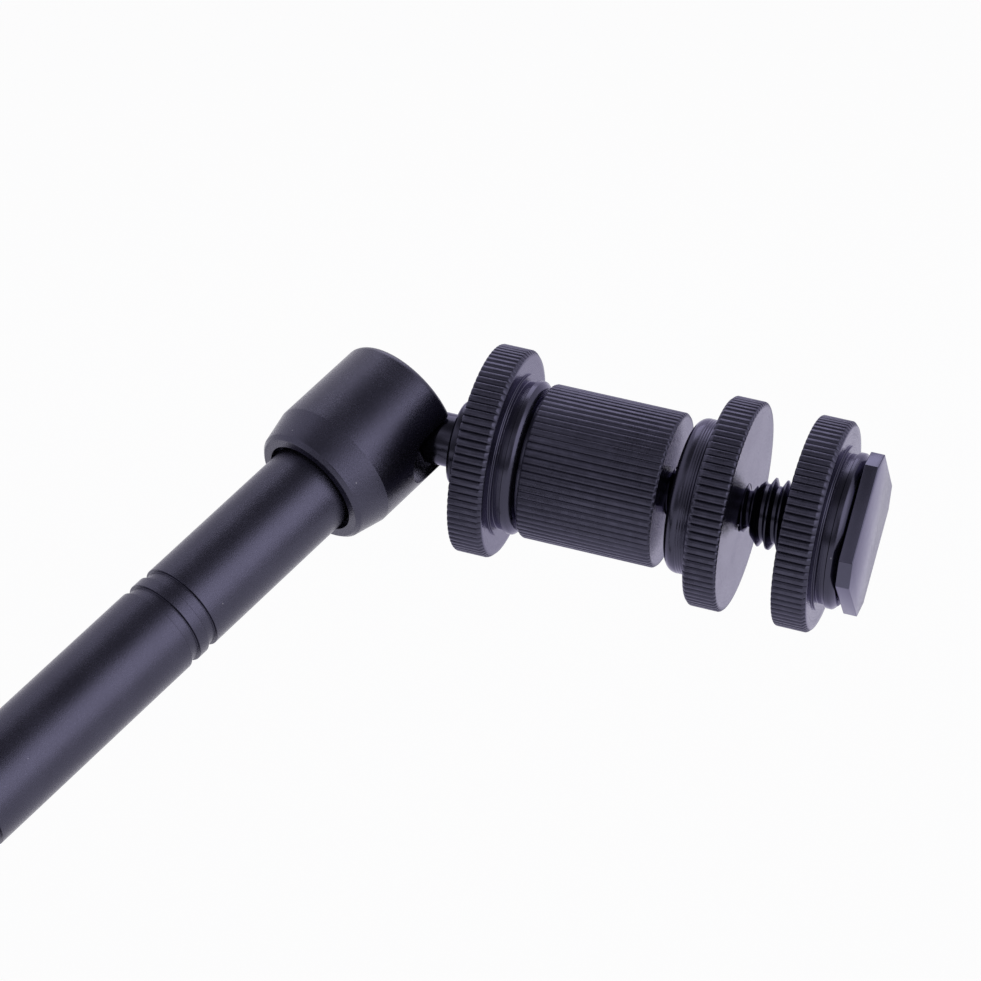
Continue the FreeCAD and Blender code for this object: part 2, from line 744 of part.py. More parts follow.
for item in doc.Objects:
    if "Invalid" in item.State or "Error" in item.State:
        raise RuntimeError("%s failed: %s" % (item.Name, item.State))
for body in pieces:
    if body.Shape.isNull() or not body.Shape.isValid() or len(body.Shape.Solids) != 1:
        raise RuntimeError("%s is not one whole solid" % body.Label)
for body in pieces:
    body.Shape.exportStep("parts/%s.step" % body.Label)
    print("%-24s %9.1f mm3" % (body.Label, body.Shape.Volume))
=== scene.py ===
"""Articulating friction arm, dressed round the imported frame.

Every piece is turned or cut about its own axis in millimetres, then put in its place in metres.
"""

import json
import logging
from dataclasses import dataclass, replace
from enum import Enum
from math import acos, asin, atan2, ceil, cos, degrees, pi, radians, sin, sqrt
from typing import Iterable, Sequence

import bmesh
import bpy
from bpy.types import ID, Material, Node, NodeSocket, Object
from mathutils import Matrix, Vector


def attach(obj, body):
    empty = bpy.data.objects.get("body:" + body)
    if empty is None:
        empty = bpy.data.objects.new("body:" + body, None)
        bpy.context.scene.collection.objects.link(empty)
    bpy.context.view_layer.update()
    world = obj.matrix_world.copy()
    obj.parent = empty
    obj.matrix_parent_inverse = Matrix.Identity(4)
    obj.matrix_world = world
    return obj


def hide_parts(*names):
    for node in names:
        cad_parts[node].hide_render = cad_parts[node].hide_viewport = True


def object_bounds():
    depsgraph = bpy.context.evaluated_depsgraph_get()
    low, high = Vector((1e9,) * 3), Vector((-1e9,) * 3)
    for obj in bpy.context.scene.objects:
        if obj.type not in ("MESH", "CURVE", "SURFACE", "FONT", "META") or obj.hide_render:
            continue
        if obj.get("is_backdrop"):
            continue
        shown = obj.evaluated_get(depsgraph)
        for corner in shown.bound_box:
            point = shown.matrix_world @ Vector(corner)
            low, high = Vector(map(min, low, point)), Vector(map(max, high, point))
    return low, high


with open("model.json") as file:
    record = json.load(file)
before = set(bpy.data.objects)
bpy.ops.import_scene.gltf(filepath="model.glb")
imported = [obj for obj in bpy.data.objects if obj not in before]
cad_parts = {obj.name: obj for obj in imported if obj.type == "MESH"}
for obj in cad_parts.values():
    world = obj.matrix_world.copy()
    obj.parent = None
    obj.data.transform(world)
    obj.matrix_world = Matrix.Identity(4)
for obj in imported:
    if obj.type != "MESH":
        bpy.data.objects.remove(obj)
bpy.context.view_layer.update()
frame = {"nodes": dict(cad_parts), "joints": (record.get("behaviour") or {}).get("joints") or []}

LOG = logging.getLogger("friction_arm")
MM = 0.001
FULL_TURN = 2 * pi
SHORTEST_SIDE = 2.5  # of the break's width: a shorter side of an outline keeps its corners
FLATTEST_CORNER = 150  # degrees: a flatter corner is part of a curve
MERGED = 0.0005  # vertices nearer than this are one
SLACK = 0.01  # a hair past a face, or within one
REACH = 20.0  # half the length of a bore that goes right through
MILLED_EDGE = 0.12  # width of the broken edges
KNURL_ANGLE = 27  # degrees: sharper edges of a knurl stay sharp
Point = tuple[float, float]
Triple = tuple[float, float, float]


class Axis(Enum):
    """Directions that a rod can lie along."""

    X = "X"
    Z = "Z"


class Cut(Enum):
    """What a second solid does to a piece."""

    TAKE_AWAY = "DIFFERENCE"
    ADD = "UNION"
    KEEP_COMMON = "INTERSECT"


# Outlines


def arc(centre: Point, radius: float, start: float, end: float, steps: int) -> list[Point]:
    """Points along an arc of an outline.

    Args:
        centre: the arc's centre, as (radius, height).
        radius: the arc's radius.
        start: angle of the first point in degrees, from the outward direction towards +Z.
        end: angle of the last point in degrees.
        steps: number of chords.

    Returns:
        The points, both ends among them.
    """
    angles = [radians(start + (end - start) * step / steps) for step in range(steps + 1)]
    return [(centre[0] + radius * cos(angle), centre[1] + radius * sin(angle)) for angle in angles]


def softened(outline: Sequence[Point], width: float, closed: bool = True) -> list[Point]:
    """Breaks the sharp corners of an outline, as a lathe hand does with a file.

    Args:
        outline: the outline's corners.
        width: how far from a corner the break starts.
        closed: whether the last corner joins the first.

    Returns:
        The outline with two points in place of each sharp corner.
    """
    result: list[Point] = []
    last = len(outline) - 1
    for index, corner in enumerate(outline):
        before = Vector(outline[index - 1]) - Vector(corner)
        after = Vector(outline[(index + 1) % len(outline)]) - Vector(corner)
        is_end = not closed and index in (0, last)
        is_short = min(before.length, after.length) < SHORTEST_SIDE * width
        if is_end or is_short or before.angle(after) > radians(FLATTEST_CORNER):
            result.append(corner)
            continue
        for side in (before, after):
            spot = Vector(corner) + side.normalized() * width
            result.append((spot.x, spot.y))
    return result


# Shaping by hand


def deselect() -> None:
    """Leaves no object selected."""
    bpy.ops.object.select_all(action="DESELECT")


def make_active(piece: Object) -> None:
    """Selects one piece alone."""
    deselect()
    piece.select_set(True)
    bpy.context.view_layer.objects.active = piece


def open_edit(piece: Object) -> None:
    """Opens a piece in edit mode, to work on its vertices."""
    make_active(piece)
    bpy.ops.object.mode_set(mode="EDIT")
    bpy.ops.mesh.select_mode(type="VERT")


def close_edit() -> None:
    """Goes back to object mode."""
    bpy.ops.object.mode_set(mode="OBJECT")


def draw_in(piece: Object, steps: int, spacing: int, away: int, floor: float, share: float) -> None:
    """Draws one column of vertices of every notch towards the axis, in edit mode.

    Args:
        piece: a piece turned in flats.
        steps: number of flats round the axis.
        spacing: flats from one notch to the next.
        away: flats from a notch's middle to the column.
        floor: radius below which nothing moves.
        share: the share of its radius that a vertex keeps.
    """
    mesh = bmesh.from_edit_mesh(piece.data)
    for vertex in mesh.verts:
        flat = round(atan2(vertex.co.y, vertex.co.x) / FULL_TURN * steps) % spacing
        vertex.select = min(flat, spacing - flat) == away and vertex.co.xy.length > floor
    mesh.select_flush_mode()
    bmesh.update_edit_mesh(piece.data)
    bpy.ops.transform.resize(value=(share, share, 1), center_override=(0, 0, 0))


def clean_up() -> None:
    """Merges doubled vertices and turns all faces outwards, in edit mode."""
    bpy.ops.mesh.select_all(action="SELECT")
    bpy.ops.mesh.remove_doubles(threshold=MERGED)
    bpy.ops.mesh.normals_make_consistent(inside=False)


def trace(name: str, points: Sequence[Triple]) -> Object:
    """Draws a chain of edges by extruding one vertex from point to point; stays in edit mode.

    Args:
        name: the new piece's name.
        points: the chain's points.

    Returns:
        The piece, with all of the chain selected.
    """
    deselect()
    bpy.ops.mesh.primitive_plane_add(size=1.0, location=(0, 0, 0))
    piece = bpy.context.object
    piece.name = piece.data.name = name
    open_edit(piece)
    bpy.ops.mesh.select_all(action="SELECT")
    bpy.ops.mesh.merge(type="CENTER")
    bpy.ops.transform.translate(value=points[0])
    for start, end in zip(points, points[1:]):
        step = Vector(end) - Vector(start)
        bpy.ops.mesh.extrude_region_move(TRANSFORM_OT_translate={"value": step})
    bpy.ops.mesh.select_all(action="SELECT")
    return piece


def lathe(name: str, outline: Sequence[Point], steps: int, closed: bool = True) -> Object:
    """Turns an outline of (radius, height) points about Z.

    Args:
        name: the new piece's name.
        outline: the outline's corners; an open one starts and ends on the axis.
        steps: number of flats round the axis.
        closed: whether the outline comes back to its first corner, as a bored piece's does.

    Returns:
        The turned piece, in object mode.
    """
    chain = [(radius, 0.0, height) for radius, height in outline]
    if closed:
        chain.append(chain[0])
    piece = trace(name, chain)
    bpy.ops.mesh.spin(steps=steps, angle=FULL_TURN, center=(0, 0, 0), axis=(0, 0, 1))
    clean_up()
    close_edit()
    return piece


def rod(radius: float, start: float, end: float, axis: Axis = Axis.Z, steps: int = 64) -> Object:
    """A plain cylinder for cutting or joining.

    Args:
        radius: the cylinder's radius.
        start: where it starts along its axis.
        end: where it ends along its axis.
        axis: the axis it lies on.
        steps: number of flats.

    Returns:
        The cylinder, in object mode.
    """
    deselect()
    middle = (start + end) / 2
    place = (middle, 0, 0) if axis is Axis.X else (0, 0, middle)
    lean = (0, pi / 2, 0) if axis is Axis.X else (0, 0, 0)
    bpy.ops.mesh.primitive_cylinder_add(
        vertices=steps, radius=radius, depth=end - start, location=place, rotation=lean)
    bpy.ops.object.transform_apply()
    return bpy.context.object


def apply_modifier(piece: Object, kind: str, **settings: object) -> None:
    """Adds a modifier to a piece, sets it and applies it.

    Args:
        piece: the piece.
        kind: the modifier's type.
        settings: the modifier's properties.
    """
    make_active(piece)
    modifier = piece.modifiers.new(kind.title(), kind)
    for key, value in settings.items():
        setattr(modifier, key, value)
    bpy.ops.object.modifier_apply(modifier=modifier.name)


def combine(piece: Object, other: Object, cut: Cut) -> None:
    """Cuts a piece with a second solid, or adds it, and removes the second one."""
    apply_modifier(piece, "BOOLEAN", operation=cut.value, object=other, solver="EXACT")
    other_mesh = other.data
    bpy.data.objects.remove(other)
    bpy.data.meshes.remove(other_mesh)


def break_edges(piece: Object, width: float, angle: float, segments: int = 2) -> None:
    """Rounds all edges of a piece that are sharper than an angle."""
    apply_modifier(piece, "BEVEL", width=width, segments=segments, limit_method="ANGLE",
                   angle_limit=radians(angle), harden_normals=False, use_clamp_overlap=True)


def join(name: str, parts: Sequence[Object]) -> Object:
    """Makes one piece of several."""
    deselect()
    for part in parts:
        part.select_set(True)
    bpy.context.view_layer.objects.active = parts[0]
    bpy.ops.object.join()
    parts[0].name = parts[0].data.name = name
    return parts[0]


@dataclass(frozen=True)
class Knurl:
    """Straight knurl: notches pressed into a rim, evenly round it."""

    teeth: int
    depth: float
    per_tooth: int = 8
    profile: tuple[float, ...] = (1.0, 0.4, 0.08)  # share of the depth, flat by flat from the middle

    @property
    def steps(self) -> int:
        """Flats round the axis that the knurl needs."""
        return self.teeth * self.per_tooth

    def press(self, piece: Object, radius: float) -> None:
        """Presses the notches into everything that lies near the rim's radius.

        Args:
            piece: a piece turned with this knurl's number of flats.
            radius: the rim's radius.
        """
        floor = radius - self.depth + 0.02  # just above the notches' own floor
        open_edit(piece)
        for away, share in enumerate(self.profile):
            kept = (radius - self.depth * share) / radius
            draw_in(piece, self.steps, self.per_tooth, away, floor, kept)
        close_edit()


@dataclass(frozen=True)
class Thread:
    """Unified screw thread with flat crests and a flat root."""

    radius: float
    pitch: float
    steps: int = 56
    depth: float = 0.6134  # share of the pitch
    flanks: tuple[float, ...] = (0.13, 0.44, 0.56, 0.87)  # shares of the pitch where they start and end
    play: float = 0.05

    @property
    def root(self) -> float:
        """Radius at the thread's root."""
        return self.radius - self.depth * self.pitch

    @property
    def bore(self) -> float:
        """Radius of a plain bore round the thread."""
        return self.radius + self.play

    def cut(self, name: str, start: float, end: float, lead: Sequence[float]) -> Object:
        """Cuts the thread on a blank that has a chamfer at each end.

        Args:
            name: the piece's name.
            start: where the blank starts along Z.
            end: where it ends.
            lead: chamfer at the start and at the end.

        Returns:
            The threaded length as a closed piece.
        """
        turns = ceil((end - start) / self.pitch) + 3  # some to spare at both ends
        foot = start - 1.5 * self.pitch
        radii = (self.root, self.root, self.radius, self.radius, self.root, self.root)
        piece = trace(name, [(radius, 0.0, foot + height * self.pitch)
                             for radius, height in zip(radii, (0.0, *self.flanks, 1.0))])
        close_edit()
        apply_modifier(piece, "SCREW", axis="Z", angle=FULL_TURN, screw_offset=self.pitch, iterations=turns,
                       steps=self.steps, render_steps=self.steps)
        open_edit(piece)
        clean_up()
        for height, below in ((start, True), (end, False)):
            bpy.ops.mesh.select_all(action="SELECT")
            bpy.ops.mesh.bisect(plane_co=(0, 0, height), plane_no=(0, 0, 1), use_fill=True,
                                clear_inner=below, clear_outer=not below)
        clean_up()
        close_edit()
        top = self.radius + SLACK
        blank = lathe("blank", [
            (0, start - SLACK), (top - lead[0], start - SLACK), (top, start + lead[0]),
            (top, end - lead[1]), (top - lead[1], end + SLACK), (0, end + SLACK)], self.steps, closed=False)
        combine(piece, blank, Cut.KEEP_COMMON)
        return piece


SMALL_THREAD = Thread(3.175, 1.27)  # 1/4-20
LARGE_THREAD = Thread(4.7625, 1.5875)  # 3/8-16


# Finishes


class NodeSheet:
    """The nodes of a material or a world, with short calls to add and link them."""

    def __init__(self, owner: ID) -> None:
        """Opens the owner's nodes."""
        owner.use_nodes = True
        self.owner = owner
        self.tree = owner.node_tree

    def add(self, kind: str, *feeds: object, **values: object) -> Node:
        """Adds a node.

        Args:
            kind: the node's type, without the usual prefix.
            feeds: what its inputs get, in their order.
            values: its properties' values, or what its inputs get, by name.

        Returns:
            The node.
        """
        node = self.tree.nodes.new("ShaderNode" + kind)
        self.fill(node, **values)
        for target, value in zip(node.inputs, feeds):
            self.feed(target, value)
        return node

    def fill(self, node: Node, **values: object) -> None:
        """Sets a node's properties, or else its inputs, by name."""
        for key, value in values.items():
            if hasattr(node, key):
                setattr(node, key, value)
            else:
                self.feed(node.inputs[key.replace("_", " ")], value)

    def feed(self, target: NodeSocket, value: object) -> None:
        """Links an input to a socket, or sets its value; None leaves it as it is."""
        if isinstance(value, NodeSocket):
            self.tree.links.new(value, target)
        elif value is not None:
            target.default_value = value

    def math(self, operation: str, *values: object) -> NodeSocket:
        """The result of a sum on one to three values."""
        return self.add("Math", *values, operation=operation).outputs[0]

    def ramp(self, value: NodeSocket, low: float, high: float, start: float = 0.0,
             end: float = 1.0) -> NodeSocket:
        """Spreads a value's stretch from low to high over start to end, and clamps it."""
        return self.add("MapRange", value, low, high, start, end).outputs[0]

    def blend(self, share: object, first: object, second: object) -> NodeSocket:
        """Mixes two colours by a share."""
        return self.add("Mix", share, *[None] * 5, first, second, data_type="RGBA").outputs[2]

    def local(self, placing: Matrix) -> NodeSocket:
        """Object coordinates in millimetres about the axis of a piece that lies at a place."""
        return self.add("Mapping", vector_type="TEXTURE", Vector=self.add("TexCoord").outputs["Object"],
                        Location=placing.to_translation(), Rotation=placing.to_euler("XYZ"),
                        Scale=(MM, MM, MM)).outputs[0]

    def noise(self, vector: object, scale: float, detail: float) -> NodeSocket:
        """The value of a cloudy pattern."""
        return self.add("TexNoise", Vector=vector, Scale=scale, Detail=detail).outputs[0]

    def bump(self, height: object, distance: float, under: object = None) -> NodeSocket:
        """A bump of a height in millimetres, laid over another one."""
        return self.add("Bump", Strength=1.0, Distance=distance * MM, Height=height, Normal=under).outputs[0]

    def dress(self, **values: object) -> Material:
        """Fills in the principled shader, and gives the finished material."""
        self.fill(self.tree.nodes["Principled BSDF"], **values)
        return self.owner

    def show(self, share: object, first: Node, second: Node, output: str) -> None:
        """Sends a mix of two shaders to the output node."""
        mixed = self.add("MixShader", share, first.outputs[0], second.outputs[0])
        self.feed(self.tree.nodes[output].inputs[0], mixed.outputs[0])


WHITE = (1.0, 1.0, 1.0, 1.0)
DUST = (0.55, 0.54, 0.58, 1.0)
RARE_DUST = 0.1  # share of the cells that hold a speck
DYED_BLACK = (0.935, 0.9, 1.38)  # a slightly violet grey, scaled by each finish's level
DYED_METALLIC = 0.92  # the dyed layer hides a little of the metal
MARKS_PER_MM = 7.0


def scaled(colour: Sequence[float], share: float = 1.0) -> tuple[float, ...]:
    """A colour at a share of its strength, opaque."""
    return (*[channel * share for channel in colour], 1.0)


@dataclass(frozen=True)
class BlackAnodised:
    """Black anodised aluminium, blasted or turned before it was dyed."""

    name: str
    level: float = 0.053
    roughness: float = 0.3
    grain: float = 0.012
    turning: float = 0.0
    worn_radius: float = 0.0
    specks: float = 0.35
    mottling: float = 0.0
    edge_tint: tuple[float, float] = (0.84, 0.805)

    def grey(self, share: float) -> tuple[float, ...]:
        """The finish's grey at a share of its level."""
        return scaled(DYED_BLACK, self.level * share)

    def material(self, placing: Matrix) -> Material:
        """Builds the finish for a piece that lies at a place.

        Args:
            placing: the piece's place, which centres the turning marks.

        Returns:
            The material.
        """
        sheet = NodeSheet(bpy.data.materials.new(self.name))
        place = sheet.local(placing)
        cloud = sheet.noise(place, 0.16, 4.0)
        fine = sheet.noise(place, 5.5, 3.0)
        grit = sheet.noise(place, 14.0, 2.0)
        split = sheet.add("SeparateXYZ", Vector=place)
        squares = [sheet.math("MULTIPLY", side, side) for side in split.outputs[:2]]
        across = sheet.math("SQRT", sheet.math("ADD", *squares))
        colour = sheet.blend(sheet.ramp(cloud, 0.35, 0.65), self.grey(0.93), self.grey(1.07))
        colour = sheet.blend(sheet.ramp(fine, 0.4, 0.75, 0.0, 0.3), colour, self.grey(1.4))
        if self.mottling:
            flecks = sheet.ramp(grit, 0.5, 0.7, 0.0, self.mottling)
            colour = sheet.blend(flecks, colour, self.grey(1.9))
        rough = sheet.math("ADD", sheet.ramp(cloud, 0.3, 0.7, self.roughness - 0.03, self.roughness + 0.04),
                           sheet.ramp(fine, 0.3, 0.7, -0.03, 0.05))
        normal = sheet.bump(grit, self.grain)
        normal = sheet.bump(fine, self.grain * 0.7, normal)
        if self.turning:
            rings = sheet.add("CombineXYZ", X=sheet.math("MULTIPLY", across, MARKS_PER_MM),
                              Y=sheet.math("MULTIPLY", split.outputs[2], MARKS_PER_MM))
            marks = sheet.noise(rings.outputs[0], 1.0, 3.0)
            normal = sheet.bump(marks, self.turning, normal)
            rough = sheet.math("ADD", rough, sheet.ramp(marks, 0.35, 0.65, -0.04, 0.05))
            colour = sheet.blend(sheet.ramp(marks, 0.45, 0.75, 0.0, 0.3), colour, self.grey(1.5))
        if self.worn_radius:
            crest = sheet.ramp(across, self.worn_radius - 0.12, self.worn_radius)
            patchy = sheet.math("MULTIPLY", crest, sheet.ramp(sheet.noise(place, 0.9, 4.0), 0.42, 0.72))
            colour = sheet.blend(sheet.math("MULTIPLY", patchy, 0.5), colour, self.grey(1.8))
            rim = sheet.ramp(across, self.worn_radius - 0.7, self.worn_radius - 0.4, 0.0, 0.14)
            rough = sheet.math("ADD", rough, rim)
        dots = sheet.add("TexVoronoi", Vector=place, Scale=0.55, feature="F1")
        chance = sheet.add("SeparateColor", Color=dots.outputs["Color"])
        near = sheet.ramp(dots.outputs["Distance"], 0.035, 0.055, 1.0, 0.0)
        rare = sheet.math("LESS_THAN", chance.outputs[0], RARE_DUST)
        dust = sheet.math("MULTIPLY", sheet.math("MULTIPLY", near, rare), self.specks)
        colour = sheet.blend(dust, colour, DUST)
        return sheet.dress(Base_Color=colour, Roughness=rough, Normal=normal, Metallic=DYED_METALLIC,
                           Specular_Tint=(*self.edge_tint, 1.0, 1.0))


@dataclass(frozen=True)
class BareMetal:
    """Metal with no coating, with turning marks and a little staining."""

    name: str
    colour: Triple
    roughness: float = 0.3
    marks: float = 0.006

    def material(self, placing: Matrix) -> Material:
        """Builds the finish for a piece that lies at a place."""
        sheet = NodeSheet(bpy.data.materials.new(self.name))
        place = sheet.local(placing)
        along = sheet.math("MULTIPLY", sheet.add("SeparateXYZ", Vector=place).outputs[2], 9.0)
        turned = sheet.noise(sheet.add("CombineXYZ", Z=along).outputs[0], 1.0, 3.0)
        cloud = sheet.noise(place, 0.4, 3.0)
        stain = sheet.blend(sheet.ramp(cloud, 0.35, 0.7), scaled(self.colour), scaled(self.colour, 0.72))
        rough = sheet.math("ADD", sheet.ramp(cloud, 0.3, 0.7, self.roughness - 0.05, self.roughness + 0.1),
                           sheet.ramp(turned, 0.3, 0.7, -0.03, 0.05))
        return sheet.dress(Base_Color=stain, Roughness=rough, Metallic=1.0,
                           Normal=sheet.bump(turned, self.marks))


@dataclass(frozen=True)
class MouldedPlastic:
    """Moulded plastic with the fine spark texture of its tool."""

    name: str
    colour: Triple
    roughness: float = 0.5
    texture: float = 0.03

    def material(self, placing: Matrix) -> Material:
        """Builds the finish for a piece that lies at a place."""
        sheet = NodeSheet(bpy.data.materials.new(self.name))
        place = sheet.local(placing)
        cloud = sheet.noise(place, 0.12, 3.0)
        spark = sheet.noise(place, 4.0, 3.0)
        shade = sheet.blend(sheet.ramp(cloud, 0.35, 0.65), scaled(self.colour), scaled(self.colour, 0.8))
        rough = sheet.math("ADD", sheet.ramp(cloud, 0.3, 0.7, self.roughness - 0.04, self.roughness + 0.04),
                           sheet.ramp(spark, 0.35, 0.65, -0.05, 0.05))
        return sheet.dress(Base_Color=shade, Roughness=rough, Normal=sheet.bump(spark, self.texture))


BLASTED = BlackAnodised("blasted_black", level=0.057, roughness=0.24, grain=0.02, mottling=0.65,
                        edge_tint=(0.965, 0.95))
TURNED = BlackAnodised("turned_black", roughness=0.17, grain=0.004, turning=0.012)
THREADED = BlackAnodised("threaded_black", level=0.04, roughness=0.17, grain=0.003, specks=0.15)
MILLED = BlackAnodised("milled_black", level=0.085, roughness=0.2, grain=0.004)
SATIN_STEEL = BareMetal("satin_steel", (0.52, 0.52, 0.54))
TURNED_BRASS = BareMetal("turned_brass", (0.72, 0.55, 0.26))
BRAKE_PLASTIC = MouldedPlastic("brake_plastic", (0.55, 0.54, 0.5))
KNOB_PLASTIC = MouldedPlastic("knob_plastic", (0.016, 0.016, 0.019), roughness=0.46)
Finish = BlackAnodised | BareMetal | MouldedPlastic


# Places, read from the frame's joints


def joint(name: str, what: str) -> Vector:
    """A joint's axis, or its place in metres."""
    return Vector(next(item for item in frame["joints"] if item["name"] == name)[what])


def placing(origin: Vector, outward: Vector, side: Vector) -> Matrix:
    """A place whose Z axis is the outward direction and whose X axis is the side direction.

    Args:
        origin: the place's origin, in metres.
        outward: direction of the piece's own Z axis.
        side: direction that its X axis comes nearest to.

    Returns:
        The matrix of the place.
    """
    z_axis = outward.normalized()
    x_axis = (side - z_axis * z_axis.dot(side)).normalized()
    turn = Matrix((x_axis, z_axis.cross(x_axis), z_axis)).transposed()
    return Matrix.Translation(origin) @ turn.to_4x4()


KNOB_SIDE = joint("knob_turn", "axis")
LOWER_OUT = -joint("lower_brake_slide", "axis")
UPPER_OUT = -joint("upper_brake_slide", "axis")
BASE_BALL = joint("base_tilt", "pos_m")
UPPER_BALL = joint("upper_tilt", "pos_m")
SLOT_SIDE = joint("upper_tilt", "axis").cross(UPPER_OUT)

BASE_FRAME = placing(BASE_BALL, Vector((0, 0, -1)), Vector((1, 0, 0)))
LOWER_FRAME = placing(BASE_BALL, LOWER_OUT, Vector((-1, 0, 0)))
LOWER_ELBOW_FRAME = placing(joint("elbow", "pos_m"), KNOB_SIDE, LOWER_OUT)
UPPER_ELBOW_FRAME = placing(joint("knob_turn", "pos_m"), KNOB_SIDE, UPPER_OUT)
UPPER_FRAME = placing(UPPER_BALL, UPPER_OUT, SLOT_SIDE)
STUD_FRAME = placing(UPPER_BALL, joint("upper_wheel_turn", "axis"), UPPER_OUT)
SHOE_ROLL = radians(21.5)
SHOE_FRAME = STUD_FRAME @ Matrix.Rotation(SHOE_ROLL, 4, "Z")


@dataclass(frozen=True)
class Home:
    """Where a piece goes: its place, its body, the node it stands for and its slot."""

    place: Matrix
    body: str
    node: str
    slot: str = "black_anodised"


def settle(piece: Object, home: Home, finish: Finish, smooth: float = 32) -> None:
    """Moves a finished piece from its own millimetres to its place, and dresses it.

    Args:
        piece: the piece, in millimetres about its own axis.
        home: where it goes.
        finish: its finish.
        smooth: the angle in degrees above which an edge stays sharp.
    """
    make_active(piece)
    piece.matrix_world = home.place @ Matrix.Scale(MM, 4)
    bpy.ops.object.transform_apply()
    bpy.ops.object.shade_smooth_by_angle(angle=radians(smooth))
    piece.data.materials.clear()
    piece.data.materials.append(finish.material(home.place))
    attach(piece, home.body)
    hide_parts(home.node)
    LOG.info("%s stands for %s with %d faces", piece.name, home.node, len(piece.data.polygons))


# Sub-assemblies


@dataclass
class KnurledWheel:
    """Wheel with a knurled rim and a boss on one face."""

    radius: float = 14.15
    back_chamfer: float = 0.2
    chamfer: float = 0.5
    knurl_width: float = 3.95
    boss_radius: float = 10.45
    boss_height: float = 2.85
    boss_chamfer: float = 0.7
    step_height: float = 0.3
    step_width: float = 0.6
    groove_depth: float = 0.4
    ring_width: float = 1.45
    jam_boss: float = 3.95
    jam_round: float = 1.5
    jam_rim: float = 4.45
    jam_chamfer: float = 0.3
    jam_back_chamfer: float = 0.4
    ridge_depth: float = 0.05
    ridge_pitch: float = 0.17
    ridges: int = 11
    edge: float = 0.08
    knurl: Knurl = Knurl(84, 0.3)

    @property
    def rim(self) -> float:
        """Width of the rim with its chamfers."""
        return self.back_chamfer + self.knurl_width + self.chamfer

    def rim_side(self, back: float, front: float, back_chamfer: float, front_chamfer: float) -> list[Point]:
        """Outline round the rim, from its back face to its front face."""
        depth = self.knurl.depth
        return [
            (self.radius - 1.5 * depth, back), (self.radius - back_chamfer, back),
            (self.radius, back + back_chamfer), (self.radius, front - front_chamfer),
            (self.radius - front_chamfer, front), (self.radius - 1.5 * front_chamfer - depth, front)]

    def boss_side(self, front: float) -> list[Point]:
        """Outline of the step and the groove at the boss's root."""
        root = self.boss_radius - self.groove_depth
        shoulder = self.boss_radius + self.step_width
        return [
            (shoulder, front), (shoulder, front + self.step_height), (root, front + self.step_height),
            (root, front + self.boss_height - self.ring_width)]

    def ring_side(self, start: float, bore: float) -> list[Point]:
        """Outline of the smooth ring at the boss's end."""
        end = start + self.ring_width
        return [
            (self.boss_radius, start), (self.boss_radius, end - self.boss_chamfer),
            (self.boss_radius - self.boss_chamfer, end), (bore, end)]

    def turn(self, name: str, outline: list[Point], home: Home) -> None:
        """Turns and knurls a wheel, and puts it in its place."""
        piece = lathe(name, softened(outline, self.edge), self.knurl.steps)
        self.knurl.press(piece, self.radius)
        finish = replace(TURNED, name="knurled_black", worn_radius=self.radius)
        settle(piece, home, finish, KNURL_ANGLE)

    def build(self, name: str, back: float, bore: float, home: Home, ringed: bool = True) -> None:
        """A wheel whose boss faces forwards.

        Args:
            name: the new piece's name.
            back: height of the wheel's back face.
            bore: radius of its bore.
            home: where it goes.
            ringed: whether it has the ring at its boss's end, which is loose on the clamp wheel.
        """
        front = back + self.rim
        ring_start = front + self.boss_height - self.ring_width
        rim = self.rim_side(back, front, self.back_chamfer, self.chamfer)
        ring = self.ring_side(ring_start, bore) if ringed else [(bore, ring_start)]
        self.turn(name, [(bore, back)] + rim + self.boss_side(front) + ring, home)

    def build_clamp_ring(self, name: str, start: float, bore: float, home: Home) -> None:
        """The smooth ring between the clamp wheel and the foot."""
        outline = [(bore, start)] + self.ring_side(start, bore)
        piece = lathe(name, softened(outline, self.edge), 128)
        settle(piece, home, TURNED)

    def build_jam_wheel(self, name: str, start: float, bore: float, home: Home) -> None:
        """A wheel with a taller, round-edged boss that faces back."""
        back = start + self.jam_boss
        front = back + self.jam_rim
        outline = [(bore, start)]
        outline += arc((self.boss_radius - self.jam_round, start + self.jam_round), self.jam_round, -90, 0, 8)
        low = start + self.jam_round + self.ridge_pitch
        outline += [(self.boss_radius - self.ridge_depth * (step % 2), low + self.ridge_pitch * step)
                    for step in range(self.ridges)]
        shoulder = self.boss_radius + self.step_width
        outline += [(self.boss_radius, back - self.step_height), (shoulder, back - self.step_height),
                    (shoulder, back)]
        rim = self.rim_side(back, front, self.jam_back_chamfer, self.jam_chamfer)
        self.turn(name, outline + rim + [(bore, front)], home)


